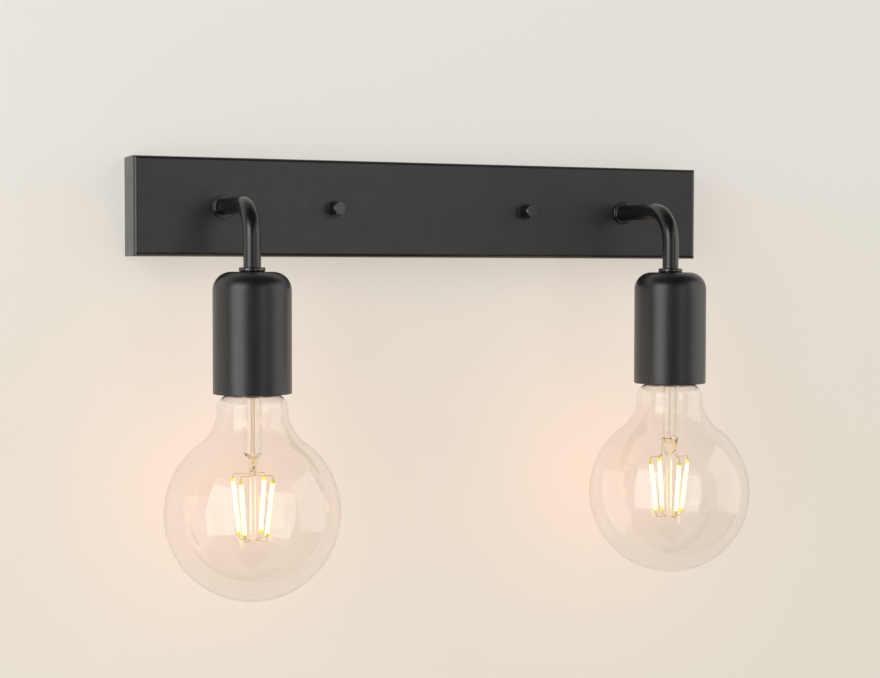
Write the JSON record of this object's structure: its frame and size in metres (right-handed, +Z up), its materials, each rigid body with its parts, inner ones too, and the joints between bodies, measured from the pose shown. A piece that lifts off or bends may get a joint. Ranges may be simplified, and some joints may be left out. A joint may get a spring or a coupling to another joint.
{
  "type": "double wall lamp",
  "caption": "Black wall lamp: a long folded backplate with bent tube arms, each with a lampholder cup hanging down and a clear screw-in globe bulb.",
  "frame": {"origin": "centre of the backplate's outline on the wall plane", "axes": "+X along the backplate to the lamp's right as seen from the room, +Y into the wall, +Z up, so the lamp faces -Y"},
  "size_m": [0.357, 0.1365, 0.2428],
  "materials": {
    "black_sheet": "matt black powder coat",
    "black_tube": "satin black paint",
    "black_fittings": "satin black paint",
    "black_cup": "matt black powder coat",
    "bracket_steel": "zinc plated",
    "zinc_steel": "zinc plated",
    "brass": "bare",
    "tinned_copper": "tinned",
    "block_plastic": "moulded",
    "holder_plastic": "moulded",
    "ceramic": "unglazed",
    "socket_metal": "formed sheet",
    "live_insulation": "wire insulation",
    "neutral_insulation": "wire insulation",
    "earth_insulation": "wire insulation, green with yellow",
    "solder": "soldered",
    "clear_glass": "clear, smooth",
    "stem_glass": "clear",
    "cap_metal": "rolled thread",
    "cap_glass": "black cap glass",
    "circuit_board": "board with parts",
    "wire_metal": "drawn wire",
    "filament_coating": "phosphor coating, lit"
  },
  "bodies": {
    "lamp_frame": {"backplate": "black_sheet", "wall_bracket": "bracket_steel", "mounting_studs": "zinc_steel", "stud_lock_nuts": "zinc_steel", "arm_washers": "zinc_steel", "arm_nuts": "zinc_steel", "block_screw": "zinc_steel", "holder_screws": "zinc_steel", "terminal_screws": "zinc_steel", "earth_screw": "brass", "terminal_sleeves": "brass", "earth_tag": "tinned_copper", "terminal_block": "block_plastic", "earth_lead": "earth_insulation", "left_arm_tube": "black_tube", "left_wall_ferrule": "black_fittings", "left_cup_collar": "black_fittings", "left_cup": "black_cup", "left_holder_bush": "zinc_steel", "left_holder_dome": "holder_plastic", "left_holder_skirt": "holder_plastic", "left_contact_block": "ceramic", "left_socket_shell": "socket_metal", "left_centre_contact": "brass", "left_live_lead": "live_insulation", "left_neutral_lead": "neutral_insulation", "right_arm_tube": "black_tube", "right_wall_ferrule": "black_fittings", "right_cup_collar": "black_fittings", "right_cup": "black_cup", "right_holder_bush": "zinc_steel", "right_holder_dome": "holder_plastic", "right_holder_skirt": "holder_plastic", "right_contact_block": "ceramic", "right_socket_shell": "socket_metal", "right_centre_contact": "brass", "right_live_lead": "live_insulation", "right_neutral_lead": "neutral_insulation"},
    "left_bulb_tip": {"left_tip_contact": "solder"},
    "left_bulb": {"left_bulb_glass": "clear_glass", "left_screw_cap": "cap_metal", "left_cap_insulator": "cap_glass", "left_driver_board": "circuit_board", "left_glass_stem": "stem_glass", "left_support_wires": "wire_metal", "left_filaments": "filament_coating"},
    "left_washer": {"left_nut_washer": "black_fittings"},
    "left_nut": {"left_cap_nut": "black_fittings"},
    "right_bulb_tip": {"right_tip_contact": "solder"},
    "right_bulb": {"right_bulb_glass": "clear_glass", "right_screw_cap": "cap_metal", "right_cap_insulator": "cap_glass", "right_driver_board": "circuit_board", "right_glass_stem": "stem_glass", "right_support_wires": "wire_metal", "right_filaments": "filament_coating"},
    "right_washer": {"right_nut_washer": "black_fittings"},
    "right_nut": {"right_cap_nut": "black_fittings"}
  },
  "joints": [
    {"name": "left_bulb_travel", "type": "slide", "parent": "lamp_frame", "child": "left_bulb_tip", "axis": [0, 0, -1], "range_m": [0, 0.02177]},
    {"name": "left_bulb_turn", "type": "hinge", "parent": "left_bulb_tip", "child": "left_bulb", "pos_m": [-0.12715, -0.089, -0.1], "axis": [0, 0, -1], "range_deg": [0, 2160]},
    {"name": "right_bulb_travel", "type": "slide", "parent": "lamp_frame", "child": "right_bulb_tip", "axis": [0, 0, -1], "range_m": [0, 0.02177]},
    {"name": "right_bulb_turn", "type": "hinge", "parent": "right_bulb_tip", "child": "right_bulb", "pos_m": [0.12715, -0.089, -0.1], "axis": [0, 0, -1], "range_deg": [0, 2160]},
    {"name": "left_nut_travel", "type": "slide", "parent": "lamp_frame", "child": "left_washer", "axis": [0, -1, 0], "range_m": [0, 0.0056]},
    {"name": "left_nut_turn", "type": "hinge", "parent": "left_washer", "child": "left_nut", "pos_m": [-0.06085, -0.0325, 0], "axis": [0, -1, 0], "range_deg": [0, 2880.1]},
    {"name": "right_nut_travel", "type": "slide", "parent": "lamp_frame", "child": "right_washer", "axis": [0, -1, 0], "range_m": [0, 0.0056]},
    {"name": "right_nut_turn", "type": "hinge", "parent": "right_washer", "child": "right_nut", "pos_m": [0.06085, -0.0325, 0], "axis": [0, -1, 0], "range_deg": [0, 2880.1]}
  ],
  "couplings": [
    {"joint": "left_bulb_travel", "follows": "left_bulb_turn", "m_per_rad": 0.00057757},
    {"joint": "right_bulb_travel", "follows": "right_bulb_turn", "m_per_rad": 0.00057757},
    {"joint": "left_nut_turn", "follows": "left_nut_travel", "rad_per_m": 8976},
    {"joint": "right_nut_turn", "follows": "right_nut_travel", "rad_per_m": 8976}
  ]
}
